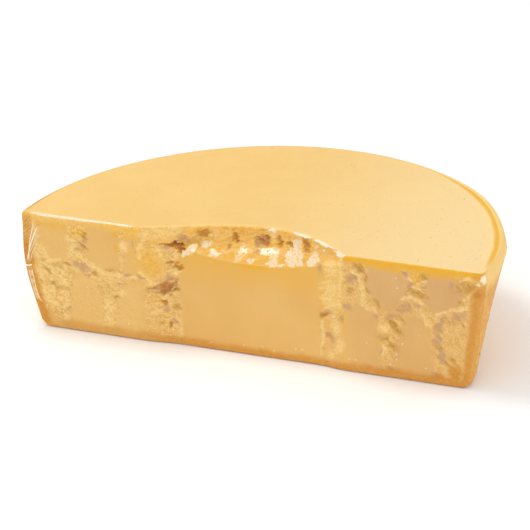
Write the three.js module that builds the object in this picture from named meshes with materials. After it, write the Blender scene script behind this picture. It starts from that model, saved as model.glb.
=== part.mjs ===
// Half of a grating-cheese wheel in clear shrink film, lying on its rind with the sawn face up.
// Millimetres, +Z up. The broken face looks along -Y and the round side is at the back.
// The outline is drawn about the wheel's axis, then moved so that the origin is under the middle.
import * as THREE from 'three';

// Driving dimensions of the wheel. Each radius is given at five bearings round the side, in degrees from the
// right end of the broken face: that end, two places past it, the middle of the back and the left end.
const HEIGHT = 110;
const BEARINGS = [0, 25, 50, 90, 180];
const TOP_RADIUS = [215.5, 216.5, 219.5, 222, 222];
const BELLY_HEIGHT = 98;
const BELLY_RADIUS = [216, 223, 229, 226, 222.5];
const KNEE_HEIGHT = 58;
const KNEE_BLEND = 22;
const KNEE_RADIUS = [211.5, 209.5, 214, 217, 224.5];
const FOOT_RADIUS = [201.5, 189, 195, 196, 209.5];
const FOOT_ROUND = 7.5;

// The recess that the wedges left in the broken face, and its smooth back panel
const PANEL = { left: -70, right: 58, depthLow: 3, depthHigh: 8 };
const RECESS = { left: -106, right: 86 };

// The scoop above the panel: a sloping shelf, then a wall up to an arch in the top edge
const ARCH = { left: -109, right: 88, middle: 8, depth: 34, leftPower: 1.25, rightPower: 0.85 };
const CREASE_HEIGHT = 85;
const CREASE_RISE = 6;
const CREASE_MIDDLE = -8;
const SHELF_STEEPNESS = 4;

// The broken flanks: smooth islands stand this far in front of the crumbled valleys
const CRUMB_DEPTH = 2.6;
const EDGE_MARGIN = 7;
const ISLAND_EDGE = 6;
const ISLANDS = [
  { x: -190, z: 86, width: 28, height: 40 },
  { x: -141, z: 84, width: 26, height: 44 },
  { x: -161, z: 31, width: 29, height: 54 },
  { x: -114, z: 32, width: 27, height: 50 },
  { x: 126, z: 85, width: 31, height: 43 },
  { x: 177, z: 89, width: 30, height: 32 },
  { x: 101, z: 36, width: 27, height: 52 },
  { x: 151, z: 33, width: 27, height: 55 },
];

// Fineness of the faceted surface
const FRONT_COLUMNS = 104;
const ARC_STEPS = 54;
const FOOT_STEPS = 3;
const WALL_STEPS = 11;
const SCOOP_STEPS = 9;

const smooth = (from, to, value) => THREE.MathUtils.smoothstep(value, from, to);
const mix = THREE.MathUtils.lerp;

// A radius that is given at the five bearings, at any bearing between them
function around(radii, bearing) {
  const degrees = THREE.MathUtils.radToDeg(bearing);
  let radius = radii[0];
  for (let i = 1; i < BEARINGS.length; i++) {
    radius += (radii[i] - radii[i - 1]) * smooth(BEARINGS[i - 1], BEARINGS[i], degrees);
  }
  return radius;
}

// Radius of the round side: a small foot radius, a taper that bends upright over the knee, the belly where
// the wheel is widest, and a shoulder that rounds in to the flat sawn face.
function sideRadius(bearing, z) {
  const foot = around(FOOT_RADIUS, bearing);
  const knee = around(KNEE_RADIUS, bearing);
  const belly = around(BELLY_RADIUS, bearing);
  const slopeBelow = (knee - foot) / KNEE_HEIGHT;
  const slopeAbove = (belly - knee) / (BELLY_HEIGHT - KNEE_HEIGHT);
  const climbed = Math.min(z, BELLY_HEIGHT);
  const bend = THREE.MathUtils.clamp((climbed - KNEE_HEIGHT + KNEE_BLEND) / (2 * KNEE_BLEND), 0, 1);
  const past = Math.max(climbed - KNEE_HEIGHT - KNEE_BLEND, 0);
  const upright = (slopeAbove - slopeBelow) * (KNEE_BLEND * bend ** 2 + past);
  const rise = Math.max(FOOT_ROUND - z, 0);
  const footCorner = FOOT_ROUND - Math.sqrt(FOOT_ROUND ** 2 - rise ** 2);
  const roll = Math.max(z - BELLY_HEIGHT, 0) / (HEIGHT - BELLY_HEIGHT);
  const shoulder = (belly - around(TOP_RADIUS, bearing)) * (1 - Math.sqrt(1 - roll ** 2));
  return foot + slopeBelow * climbed + upright - footCorner - shoulder;
}

// How far the arch in the top edge reaches back at this place along the broken face
function archDepth(x) {
  const onLeft = x < ARCH.middle;
  const half = onLeft ? ARCH.middle - ARCH.left : ARCH.right - ARCH.middle;
  const reach = Math.min(Math.abs(x - ARCH.middle) / half, 1);
  return ARCH.depth * Math.cos(reach * Math.PI / 2) ** (onLeft ? ARCH.leftPower : ARCH.rightPower);
}

function panelDepth(x, z) {
  const flat = mix(PANEL.depthLow, PANEL.depthHigh, smooth(0, CREASE_HEIGHT, z));
  const sides = smooth(RECESS.left, PANEL.left, x) * (1 - smooth(PANEL.right, RECESS.right, x));
  return flat * sides;
}

function scoopDepth(x, z) {
  const crease = CREASE_HEIGHT + CREASE_RISE * ((x - CREASE_MIDDLE) / PANEL.right) ** 2;
  const climb = THREE.MathUtils.clamp((z - crease) / (HEIGHT - crease), 0, 1);
  const rise = 1 - (1 - climb) ** SHELF_STEEPNESS;
  return Math.max(archDepth(x) - panelDepth(x, z), 0) * rise;
}

// Depth of the crumbled valleys between the islands, fading out at every edge of the face
function crumbDepth(x, z) {
  let valley = 1;
  for (const island of ISLANDS) {
    const across = Math.max(Math.abs(x - island.x) - island.width / 2, 0);
    const up = Math.max(Math.abs(z - island.z) - island.height / 2, 0);
    valley *= smooth(0, ISLAND_EDGE, Math.hypot(across, up));
  }
  const outward = x > 0 ? sideRadius(0, z) - x : sideRadius(Math.PI, z) + x;
  const edge = Math.min(outward, z, HEIGHT - z);
  const beyond = Math.max(RECESS.left - x, x - RECESS.right);
  return CRUMB_DEPTH * valley * smooth(0, EDGE_MARGIN, edge) * smooth(0, EDGE_MARGIN, beyond);
}

function frontDepth(x, z) {
  return panelDepth(x, z) + scoopDepth(x, z) + crumbDepth(x, z);
}

// Heights of the outlines that the surface is stretched over, closest together in the scoop
function levels() {
  const heights = [];
  for (let i = 0; i < FOOT_STEPS; i++) {
    heights.push(FOOT_ROUND * (1 - Math.cos(i / FOOT_STEPS * Math.PI / 2)));
  }
  const scoopFoot = CREASE_HEIGHT - 2;
  for (let i = 0; i < WALL_STEPS; i++) {
    heights.push(mix(FOOT_ROUND, scoopFoot, i / WALL_STEPS));
  }
  for (let i = 0; i <= SCOOP_STEPS; i++) {
    heights.push(mix(scoopFoot, HEIGHT, Math.sin(i / SCOOP_STEPS * Math.PI / 2)));
  }
  return heights;
}

// One closed outline, counter-clockwise from the left end of the broken face
function outline(z) {
  const points = [];
  const left = -sideRadius(Math.PI, z);
  const right = sideRadius(0, z);
  for (let i = 0; i <= FRONT_COLUMNS; i++) {
    const x = mix(left, right, i / FRONT_COLUMNS);
    const inside = i > 0 && i < FRONT_COLUMNS;
    points.push(new THREE.Vector2(x, inside ? frontDepth(x, z) : 0));
  }
  for (let i = 1; i < ARC_STEPS; i++) {
    const bearing = Math.PI * i / ARC_STEPS;
    const radius = sideRadius(bearing, z);
    points.push(new THREE.Vector2(radius * Math.cos(bearing), radius * Math.sin(bearing)));
  }
  return points;
}

function cheeseGeometry() {
  const heights = levels();
  const outlines = heights.map(outline);
  const count = outlines[0].length;
  const positions = outlines.flatMap((points, k) => points.flatMap((p) => [p.x, p.y, heights[k]]));
  const faces = [];
  for (let k = 0; k + 1 < outlines.length; k++) {
    for (let i = 0; i < count; i++) {
      const a = k * count + i;
      const b = k * count + (i + 1) % count;
      faces.push(a, b, b + count, a, b + count, a + count);
    }
  }
  const top = (outlines.length - 1) * count;
  for (const [a, b, c] of THREE.ShapeUtils.triangulateShape(outlines[0], [])) {
    faces.push(a, c, b);
  }
  for (const [a, b, c] of THREE.ShapeUtils.triangulateShape(outlines.at(-1), [])) {
    faces.push(top + a, top + b, top + c);
  }
  const geometry = new THREE.BufferGeometry();
  geometry.setAttribute('position', new THREE.Float32BufferAttribute(positions, 3));
  geometry.setIndex(faces);
  geometry.computeVertexNormals();
  return geometry;
}

const paste = new THREE.MeshStandardMaterial({ color: 0xe9c583, roughness: 0.45, metalness: 0 });
const cheese = new THREE.Mesh(cheeseGeometry(), paste);
cheese.name = 'parmesan_half';

// The origin goes to the middle of the box around the cheese, on the surface that it rests on
cheese.geometry.computeBoundingBox();
const middle = cheese.geometry.boundingBox.getCenter(new THREE.Vector3());
cheese.position.set(-middle.x, -middle.y, 0);

const part = new THREE.Group();
part.add(cheese);

export default part;
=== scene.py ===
"""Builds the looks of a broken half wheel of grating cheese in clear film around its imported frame."""

import math
from types import SimpleNamespace

import bmesh
import bpy
import numpy as np
from mathutils import Matrix, Vector


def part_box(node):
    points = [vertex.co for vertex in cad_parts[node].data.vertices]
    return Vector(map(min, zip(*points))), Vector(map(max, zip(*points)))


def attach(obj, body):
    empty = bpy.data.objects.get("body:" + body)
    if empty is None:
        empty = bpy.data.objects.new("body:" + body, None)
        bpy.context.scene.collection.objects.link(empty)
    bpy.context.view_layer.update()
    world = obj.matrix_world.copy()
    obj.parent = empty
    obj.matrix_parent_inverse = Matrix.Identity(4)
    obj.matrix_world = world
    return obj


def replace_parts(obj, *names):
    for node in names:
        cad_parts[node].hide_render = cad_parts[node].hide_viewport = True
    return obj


bl_info = {
    "name": "Parmesan half wheel",
    "version": (1, 0, 0),
    "blender": (4, 5, 0),
    "location": "View3D > Sidebar > Parmesan",
    "description": "Cheese, crystals, rind dots and film around the packed frame",
    "category": "Object",
}

NODE = "parmesan_half"
BODY = "root"
MM = 0.001

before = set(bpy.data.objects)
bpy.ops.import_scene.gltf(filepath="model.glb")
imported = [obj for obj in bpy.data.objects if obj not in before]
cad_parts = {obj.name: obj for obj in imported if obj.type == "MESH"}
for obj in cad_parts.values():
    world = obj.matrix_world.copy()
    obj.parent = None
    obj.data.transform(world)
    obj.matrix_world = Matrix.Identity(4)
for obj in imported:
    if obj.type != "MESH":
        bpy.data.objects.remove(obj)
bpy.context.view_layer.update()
LOW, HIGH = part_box(NODE)

# All shapes are worked out in millimetres about the wheel's axis, with the broken face on y = 0, and are
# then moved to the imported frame. Bearings go round the side from the right end of the broken face.
BEARINGS = (0, 25, 50, 90, 180)

# Radius that turns bearings into lengths round the side, and where those lengths start beside the face
ARC_RADIUS = 222
ARC_START = 220

# The recess in the broken face, its panel, and the crease and the arch above them
PANEL_LEFT, PANEL_RIGHT = -70, 58
RECESS_LEFT, RECESS_RIGHT = -106, 86
ARCH_MIDDLE = 8
ARCH_HALVES = (117, 80)
ARCH_POWERS = (1.25, 0.85)
CREASE_MIDDLE = -8
SHELF_STEEPNESS = 4

# Fineness of the two skins: rings round the foot, steps up the side and in the scoop, columns along the
# broken face, and how far the rings over the top and under the foot are pulled in
CHEESE_RINGS = SimpleNamespace(foot=6, wall_step=1.0, shelf_step=0.29, columns=440,
                               pulls=(0.5, 1.2, 2.0, 3.0, 4.2, 5.5, 8.0, 14.0, 26.0))
FILM_RINGS = SimpleNamespace(foot=5, wall_step=1.3, shelf_step=0.25, columns=360,
                             pulls=(0.6, 1.4, 2.4, 3.2, 4.2, 6.0, 12.0, 26.0))
ARC_STEPS = 132
TOP_STEPS = 7
TOP_ROUND = 3.0
FILM_INSET = 0.1

# Shift of the camera's picture, the place it looks at in millimetres about the wheel's axis, and the place
# that the lamps look at in metres
CAMERA_SHIFT = (-0.0602, -0.0191)
CAMERA_TARGET = (0.0, 99.895, 55.5)
LAMP_TARGET = Vector((0.0, 0.0, 0.05))

# The places of features are listed as the front view slants them: something that lies deeper behind the
# plane of the broken face appears further right and higher by these parts of its depth.
SLANT_X = 0.456
SLANT_Z = 0.492

# Borders between the parts of the face, each from its first trace to its last
LEFT_FLANK = (-107, -101)
PANEL_START = (-70, -66.5)
PANEL_END = (61, 65.5)
RIGHT_FLANK = (82, 87)

# The crease between the panel and the scoop: places along the face, and its height there
CREASE = ((-64, -52, -36, -22, -15, 5, 18, 29, 38, 50, 64),
          (88.7, 92, 93.3, 92.7, 90.4, 90.7, 90, 92.7, 93.3, 96, 100))

# Outlines of the smooth islands in the broken flanks
ISLANDS = (
    ((-206, 106), (-204, 85), (-199, 72), (-190, 66), (-182, 69), (-180, 80), (-179, 95), (-180, 106)),
    ((-158, 106), (-156, 84), (-157, 76), (-152, 69), (-139, 62), (-131, 66), (-129, 92), (-131, 106)),
    ((-119, 98), (-120, 80), (-122, 68), (-116, 63), (-107, 62), (-104, 72), (-106, 90), (-109, 100)),
    ((-169, 55), (-161, 55), (-155, 47), (-150, 36), (-147, 3), (-177, 3), (-176, 25), (-174, 42)),
    ((-121, 55), (-106, 56), (-103, 48), (-103, 3), (-130, 3), (-129, 22), (-127, 38), (-123, 48)),
    ((112, 106), (112, 84), (115, 76), (119, 68), (125, 63), (131, 66), (141, 80), (142, 93), (139, 106)),
    ((165, 106), (164, 76), (168, 72), (180, 71), (190, 77), (194, 86), (191, 94), (182, 106)),
    ((93, 60), (104, 63), (113, 60), (116, 52), (118, 22), (118, 3), (86, 3), (86, 40), (89, 54)),
    ((146, 58), (156, 59), (163, 52), (164, 34), (168, 3), (132, 3), (136, 24), (142, 50)),
)

# Hollows by tint: x, z, half width, half height, turn in degrees and depth. Each list goes from the scoop
# to the walls beside the panel, then to the left flank and the right flank.
# the brown and crevice tints are painted shade in the hollows
HOLLOWS = {
    "brown_shade": (
        (-42, 111.5, 6, 3.4, 5, 2.6), (-13, 114, 2.2, 4.8, 12, 3), (-19, 103, 2.6, 1.5, 40, 2),
        (10.5, 114, 1.6, 1.8, 0, 2.4), (15, 109.5, 1.8, 1.6, 0, 2.2), (17, 117, 1.6, 2.6, 0, 2),
        (8, 103, 3.4, 1.4, 35, 2), (29.5, 116, 2, 4.2, 8, 2.6), (41.5, 113.5, 3.4, 4.2, -35, 2.6),
        (54.5, 113, 3, 7.4, 0, 2.4), (-69.7, 78, 4.4, 2, -8, 2.8), (-76, 80.5, 4, 0.8, 15, 1.4),
        (-85, 54.5, 8, 5, 10, 1.6), (-85.5, 40.3, 3.2, 2, 20, 2.6), (-80, 18.7, 1.5, 2.6, -10, 2),
        (68, 51, 5, 1.4, 24, 1.8),
    ),
    "crevice": (
        (-67, 96, 3.6, 6, 30, 4.2), (-76, 97.5, 8.5, 1.7, 10, 2.6),
    ),
    "mauve": (
        (8, 111, 2.6, 6, -15, 2), (14, 115, 3, 5, 20, 1.6), (-65, 105, 6, 4, 25, 2.6), (-80, 94, 5, 1.6, 20, 1.5),
        (-85.5, 54.5, 10.5, 6.4, 20, 3.8), (-78, 65, 6.5, 3.5, 5, 1.8), (-84, 33, 3, 4, -10, 1.5),
        (-77, 23, 4.5, 2.4, -30, 1.4), (69.5, 53, 6, 2.4, 24, 2.2), (73.5, 30, 4.6, 2.6, -25, 2),
        (70, 33, 3.5, 1, -10, 1.8), (66, 95, 2, 4, 0, 1.2), (89, 61.5, 4.6, 2.8, 0, 1.6), (84, 49, 2, 3, 0, 1.2),
        (-160, 90, 4.2, 2.6, 35, 2.2), (-168, 80.5, 3, 1, 0, 1.4), (-160, 56.5, 4.4, 1.4, 0, 2),
        (-165, 64, 7.5, 3.2, -25, 1.3), (-120, 62.3, 4.4, 1.7, 12, 1.8), (-107, 62, 3.4, 1.5, -15, 1.4),
        (-128, 52.5, 5.4, 1.1, 0, 1.8), (-182, 20.5, 2.4, 1, 25, 1.4), (-113.5, 94, 0.9, 3, 0, 1.4),
        (-110.5, 86, 1, 1.4, 0, 1.2), (95.5, 90.3, 4.2, 3.6, 10, 2.2), (145.5, 101, 4, 3, -45, 1.6),
        (149, 90, 3.2, 1.8, 35, 1.6), (162, 90.3, 1.8, 1.4, 0, 1.4), (142.5, 68, 7, 4.2, 28, 2.2),
        (155, 72, 2.6, 1.6, 0, 1.2), (129.5, 58, 4.6, 3, 12, 1.8), (117, 56.3, 3.2, 2.2, 0, 1.8),
        (119.5, 24, 1.2, 3, -20, 1.6), (128, 7, 3.4, 3, 0, 1.4), (174.5, 57, 3.6, 8, -28, 2.4),
        (172, 42, 3, 5, 0, 2.2), (175, 26, 3, 6.5, 18, 2), (192, 67.5, 6.5, 3.4, 12, 1.6),
        (185.5, 96, 1.6, 3, 0, 0.9), (209, 89, 2.6, 3, 0, 1.2), (170, 7, 4, 4, 0, 1.2),
    ),
    "olive": (
        (12, 112, 7, 8.5, 0, 1.2), (-54, 104, 9, 4.5, 30, 2.2), (-89, 19, 3, 1, 50, 1.6), (-71, 56, 3, 5, 20, 1.4),
        (-74, 37, 4, 3, 0, 1.2), (66, 18.7, 1.8, 1.8, 0, 1.4), (-163, 85, 7, 2, -35, 1.6),
        (-160, 96, 3.4, 1.6, 40, 1.4), (-180, 64, 5, 1.2, -5, 1.6), (-190, 62, 8, 2.2, 0, 1.6),
        (-201, 57, 5, 1.6, -40, 1.6), (-193, 44.5, 4.6, 2, 20, 1.8), (-187, 40, 8, 2, 20, 1.4),
        (-154, 58.5, 3.4, 1.8, 20, 2), (-139, 64, 7.5, 1.8, 5, 1.4), (-132, 39, 4, 1.6, 10, 1.4),
        (-143.5, 25, 3, 0.9, 25, 1.4), (-137, 32, 4.5, 1.4, 30, 1.4), (-98, 86, 1.6, 1.2, 0, 1.2),
        (102.5, 101, 4.6, 4, 0, 1.5), (92, 77, 2.8, 3.6, 0, 1.5), (108.5, 91, 1.4, 3, 0, 1.4),
        (109, 80, 2.8, 1.6, -35, 1.5), (116, 70, 5.2, 1.7, -38, 1.6), (161.5, 100, 3.4, 3.4, 0, 1.4),
        (147.3, 85.5, 3.4, 1.4, 25, 1.8), (155, 82.3, 8, 2.6, -6, 1.6), (139, 57.5, 4, 1.6, -40, 2),
        (130, 51, 6, 2.2, -32, 2.4), (134.5, 46, 6.5, 3.4, -48, 2.6), (123, 38, 6, 3, 10, 2.4),
        (125.5, 36, 1.8, 1.4, 0, 2), (131, 30, 5, 3.2, -35, 1.2), (172.5, 35, 4.2, 1.8, -25, 2.4),
        (178, 22, 3, 1.4, -35, 1.6), (187, 60.5, 4, 1.1, -50, 1.7), (195, 59, 4, 1.1, -48, 1.6),
        (193, 80.5, 2.2, 1.8, 0, 1.4), (186, 25, 2.6, 1.2, -20, 1.6), (199, 94.5, 9, 6.4, 0, 1),
    ),
    "golden": (
        (-166, 98, 9, 5, 0, 1), (-129, 87, 2, 3.4, 10, 1.2), (155, 97, 5.5, 4.2, 0, 1),
    ),
    "amber": (
        (213, 92, 2.6, 6.5, 0, 1.4), (187, 12, 6, 8, 0, 0.8),
    ),
}

# Pale ridges, their cream partly a painted highlight on the crest: half width, height, then the points along the
# crest
RIDGES = (
    (2.6, 1.1, (-175, 80), (-165, 74), (-157, 68), (-148, 63.5), (-139, 61)),
    (2, 0.7, (-139, 61), (-128, 60), (-112, 61)), (1.6, 0.8, (-204, 80), (-198, 66), (-186, 68)),
    (2.2, 1.2, (97, 97), (103, 90), (105, 78.5), (104, 67), (115, 61)),
    (1.3, 1, (146, 99), (152.7, 90.5), (159, 86)), (1.3, 1, (163, 97), (153, 90)),
    (1.8, 1, (141, 77), (150, 79), (161, 75)), (1.2, 0.8, (193, 100), (201, 105), (208, 102)),
    (1.5, 0.9, (210, 99), (204, 90), (198, 84)), (1.6, 0.9, (172, 66), (182, 71), (199, 76)),
    (1.6, 0.9, (157, 68), (161, 60), (166, 54)), (1.8, 1, (-97, 108), (-103, 99), (-107, 89), (-106, 80)),
    (2.2, 1.4, (-106, 66), (-96, 56.5), (-87, 59.5), (-76, 68), (-69, 74)),
    (2.4, 1.4, (86, 109), (84.5, 85), (83, 60)), (1.4, 0.8, (66, 45), (66.5, 30), (64, 12)),
)

# Pale lumps, their cream partly a painted highlight on the raised paste: x, z, half width, half height, turn and
# height
LUMPS = (
    (-173, 88, 6, 3.4, -35, 1), (-121, 90, 4, 5, 0, 0.8), (-97, 78, 11, 14, 20, 1.3), (-87, 89, 3.6, 4, 0, 0.9),
    (-64.5, 91.5, 2.6, 2.6, 0, 1), (24, 118, 3.4, 5, 0, 0.4), (78, 40, 3.8, 7, -8, 1.2),
    (81, 22.5, 4.4, 6.4, -20, 1.2), (73, 12, 4, 4, 0, 0.8), (75, 70, 8, 17, 0, 0.6), (76, 94, 6, 10, 0, 0.4),
    (124, 45, 5, 5.4, -35, 1.5), (122, 25, 3.2, 4.6, -15, 1.1), (-140, 30, 5, 8, 0, 0.7),
    (-141, 13, 5, 7, 0, 0.8), (-127, 44, 3.2, 4.6, -30, 1),
)

# Golden patches, those along the crease being painted shade under the scoop's edge: x, z, half width, half height,
# turn and strength
GOLDS = (
    (-118, 102, 14, 4.4, 0, 0.85), (-190, 102, 22, 4, 0, 0.6), (-97, 79, 14, 17, 15, 0.65),
    (2, 87.5, 22, 3.6, 0, 0.9), (-40, 89, 24, 2.6, 4, 0.55), (38, 88, 20, 3.4, 6, 0.55), (-29, 110, 9, 9, 0, 0.9),
    (-2, 112, 6.5, 9, 0, 0.8), (24, 117, 4.5, 7, 0, 0.4), (35, 118, 4, 6, 0, 0.7), (60, 113, 4, 8, 0, 0.6),
    (150, 104, 60, 3.4, 0, 0.8), (84, 50, 3, 5, 0, 0.7), (-93, 42, 6, 5, 0, 0.4), (-86, 104, 20, 8, 10, 0.6),
    (66, 84, 4, 10, 0, 0.4),
)

# Painted highlights: where the film would reflect the lamp, it is painted with milky white patches. Strength, then
# the outline
GLINTS = (
    (1, (-65, 88.5), (-62, 93.5), (-58, 96.5), (-53, 101.5), (-50, 101.5), (-51.5, 96.5), (-55, 92), (-60, 89.5)),
    (0.9, (-46.5, 98.5), (-45.5, 102), (-41.5, 105.5), (-36.5, 106), (-35, 104.5), (-38.5, 102), (-42.5, 99.5)),
    (0.8, (-38, 111.5), (-31, 112), (-30.5, 113), (-37, 112.5)),
    (1, (-37.5, 92.5), (-36.5, 96.5), (-35, 99), (-32, 98), (-30, 95.5), (-27, 95), (-31, 92.5)),
    (0.62, (-15.5, 90.5), (-12.5, 96), (-8.5, 102), (-6.5, 108), (-4, 109), (-2.5, 102.5), (-4, 97), (-7.5, 94.5),
     (-9.5, 90.5), (-13.5, 89)),
    (0.9, (-3, 91), (0, 94.5), (1.5, 92.5), (3, 97), (4.5, 95), (2, 91)),
    (0.78, (11, 104.5), (14, 107.5), (19.5, 106.5), (25.5, 108), (29.5, 107.5), (28.5, 103.5), (26.5, 98.5),
     (25.5, 91), (18.5, 90), (19.5, 96), (17.5, 100.5), (14, 101), (11, 99.5)),
    (0.84, (34, 96), (35, 103.5), (38, 109), (42, 112), (42, 117), (46, 119.5), (49.5, 118), (48.5, 113),
     (50.5, 107.5), (49.5, 99.5), (50.5, 95), (44, 93.2), (36, 93.2)),
    (0.9, (54.5, 96.5), (56.5, 101.5), (60.5, 107), (63.5, 109), (67, 103), (65, 99.5), (61.5, 96.3), (56.5, 94.7)),
    (0.85, (14, 91.2), (32, 91.6), (33, 92.4), (15, 92.2)), (1.3, (19.5, 124), (23, 126.5), (26.5, 125.5), (24, 123)),
    (1.3, (42, 124.5), (46, 126), (52.5, 125), (60, 123), (54.5, 122), (47, 123)),
    (1.3, (61.5, 121), (66, 122.5), (74, 119), (80, 116), (74, 116), (66, 119)),
    (1.35, (80, 114), (86.5, 113.5), (90.5, 109.5), (85.5, 107)), (0.8, (62, 114.5), (65.5, 115.5), (63.5, 111)),
    (0.8, (69, 112.5), (72, 112.5), (70.5, 110.5)), (0.7, (-66.5, 89), (-64, 92.5), (-65, 88.5)),
    (0.8, (-197.5, 50), (-196, 51.5), (-195.5, 49.5)), (0.8, (-205, 55), (-203.5, 56.5), (-203, 54.5)),
    (0.8, (75.5, 50), (77, 52), (78.5, 50.5)), (0.7, (151, 89), (153, 90.5), (155, 89.5)),
    (1.2, (212, 104.5), (215.5, 108.5), (217.5, 105), (216.5, 100)), (1, (209, 98.5), (210.5, 101), (212, 99)),
)

# Gathers of the film at the left end: half width, how milky, then the points along the fold
FOLDS = (
    (0.6, 1.3, (-206, 98), (-210, 92), (-214, 83), (-217.5, 72), (-220.5, 61)),
    (0.55, 1.2, (-210, 101), (-213.5, 92), (-216, 82), (-218, 70), (-218.6, 60)),
    (0.45, 1, (-203, 90), (-208, 89), (-212.5, 82), (-216.5, 70)),
    (0.4, 0.9, (-206, 82), (-211, 79), (-214.5, 72), (-217, 62)),
    (0.8, 1.4, (-222.6, 58.8), (-220.5, 57.4), (-218, 57.4), (-215.4, 59.4)),
    (2, 0.5, (-218.4, 57), (-217.2, 48), (-215.4, 38), (-213.4, 29), (-212, 24.5)),
    (0.5, 1.2, (-216.2, 57.5), (-215, 45), (-213.2, 33), (-211.6, 26.5), (-209.3, 24), (-206, 22.6)),
    (0.5, 1, (-219.8, 57), (-218.2, 45), (-215.4, 33), (-213, 26)),
)

# Crystals that show in the paste: x and z
CRYSTALS = (
    (107, 30), (156, 44), (140, 34), (134, 23), (134, 18), (128, 12), (161, 14), (136, 95), (137, 86),
    (124, 36), (-104, 34), (-122, 14), (-161, 45), (-42, 8), (-10, 10), (8, 11), (19, 9), (40, 14),
    (46, 14), (90, 12), (96, 12), (-78, 15),
)

# Dots that show on the rind beside the broken face: bearing in degrees and height
EDGE_DOTS = ((10, 34), (4.5, 28), (2.5, 17), (22, 98), (24, 92))


def tone(red, green, blue):
    """A colour from its display values out of 255"""
    def linear(value):
        part = value / 255.0
        return part / 12.92 if part <= 0.04045 else ((part + 0.055) / 1.055) ** 2.4
    return (linear(red), linear(green), linear(blue))


def length(name, description, value):
    """A property for a size that is given in millimetres"""
    return bpy.props.FloatProperty(name=name, description=description, default=value * MM, min=0.0,
                                   unit="LENGTH", precision=5)


def lengths(name, description, values):
    """A property for the same size at each of the five bearings round the side"""
    return bpy.props.FloatVectorProperty(name=name, description=description, size=5, unit="LENGTH",
                                         default=[value * MM for value in values], precision=5)


def colour(name, description, values):
    return bpy.props.FloatVectorProperty(name=name, description=description, size=3, subtype="COLOR",
                                         default=values, min=0.0, max=1.0)


def share(name, description, value, high=1.0):
    return bpy.props.FloatProperty(name=name, description=description, default=value, min=0.0, max=high,
                                   subtype="FACTOR")


def angle(name, description, degrees):
    return bpy.props.FloatProperty(name=name, description=description, default=math.radians(degrees),
                                   subtype="ANGLE")


def power(name, description, value):
    return bpy.props.FloatProperty(name=name, description=description, default=value, unit="POWER")


class ParmesanWheel(bpy.types.PropertyGroup):
    """Sizes of the half wheel, the recess in its broken face and the scoop above it"""
    height: length("Height", "Height of the half wheel over its film", (HIGH.z - LOW.z) / MM)
    top_radius: lengths("Top radius", "Radius of the sawn face's edge at each bearing",
                        (215.5, 216.5, 219.5, 222, 222))
    belly_height: length("Belly height", "Height at which the side is widest", 98)
    belly_radius: lengths("Belly radius", "Largest radius at each bearing", (216, 223, 229, 226, 222.5))
    knee_height: length("Knee height", "Height at which the taper turns upright", 58)
    knee_blend: length("Knee blend", "Height over which the taper bends, to each side of the knee", 22)
    knee_radius: lengths("Knee radius", "Radius at the knee at each bearing",
                         (211.5, 209.5, 214, 217, 224.5))
    foot_radius: lengths("Foot radius", "Radius at the foot at each bearing",
                         (201.5, 189, 195, 196, 209.5))
    foot_round: length("Foot rounding", "Radius of the rounded lower edge of the side", 7.5)
    corner_round: length("Corner rounding", "Radius of the upright corner at the right of the broken face", 4)
    left_round: length("Left corner rounding", "Radius of the upright corner at the left", 1.2)
    panel_low: length("Panel depth, low", "How deep the panel lies at its foot", 3)
    panel_high: length("Panel depth, high", "How deep the panel lies at its top", 8)
    arch_depth: length("Arch depth", "How far the arch in the top edge reaches back", 34)
    crease_height: length("Crease height", "Height of the crease over the middle of the panel", 85)
    crease_rise: length("Crease rise", "How much the crease rises towards the panel's sides", 6)


class ParmesanPaste(bpy.types.PropertyGroup):
    """Colours and finish of the cheese itself"""
    sawn: colour("Sawn face", "Smooth paste of the sawn top", tone(227, 186, 110))
    # painted sheen: the sawn top is made paler towards its right end
    sawn_sheen: colour("Paler sawn face", "Sawn top towards its right end", tone(235, 205, 148))
    smooth: colour("Smooth paste", "Smooth paste of the panel and islands", tone(222, 174, 97))
    ochre: colour("Ochre paste", "Greyer smooth paste of the right flank", tone(206, 158, 102))
    # cream paints pale crumbs, and also painted highlights on crests, lumps and edges
    cream: colour("Cream", "Crests and crumbs", tone(243, 209, 138))
    golden: colour("Golden", "Saturated places near edges and in the scoop", tone(229, 170, 34))
    olive: colour("Olive", "Shaded facets of the crumb", tone(186, 134, 44))
    # mauve paints darker pinkish patches into the hollows
    mauve: colour("Mauve", "Aged patches in the hollows", tone(192, 146, 112))
    # brown is painted shade in the shallower hollows
    brown_shade: colour("Brown", "Shallower dark hollows", tone(184, 118, 42))
    # crevice colour is painted shade at the bottom of the deep hollows; its mask also paints the dark hatching, the
    # darker places low in the scoop and the dark line on the rind
    crevice: colour("Crevice", "Bottom of the deep hollows", tone(164, 90, 2))
    amber: colour("Amber", "Paste next to the rind", tone(206, 136, 38))
    crystal: colour("Crystal", "White crystals in the paste", tone(255, 244, 216))
    scatter: share("Scatter weight", "Share of light that scatters inside the paste", 0.3)
    roughness: share("Roughness", "Roughness of smooth paste", 0.5)


class ParmesanRind(bpy.types.PropertyGroup):
    """Colours of the rind and the size of its dots"""
    light: colour("Light rind", "Lighter areas of the rind", tone(238, 177, 70))
    dark: colour("Dark rind", "Darker, oiled areas of the rind", tone(220, 154, 64))
    # the shoulder colour paints a highlight on the band under the sawn face, and also the rind's pale specks
    shoulder: colour("Shoulder", "Pale band under the sawn face", tone(246, 206, 120))
    dot: colour("Dot", "Dots pressed into the rind", tone(96, 56, 22))
    dot_radius: length("Dot radius", "Radius of one dot", 0.75)
    dot_spacing: length("Dot spacing", "Distance between neighbouring dots", 9)
    crystal_radius: length("Crystal radius", "Radius of a white crystal in the paste", 0.6)


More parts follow.
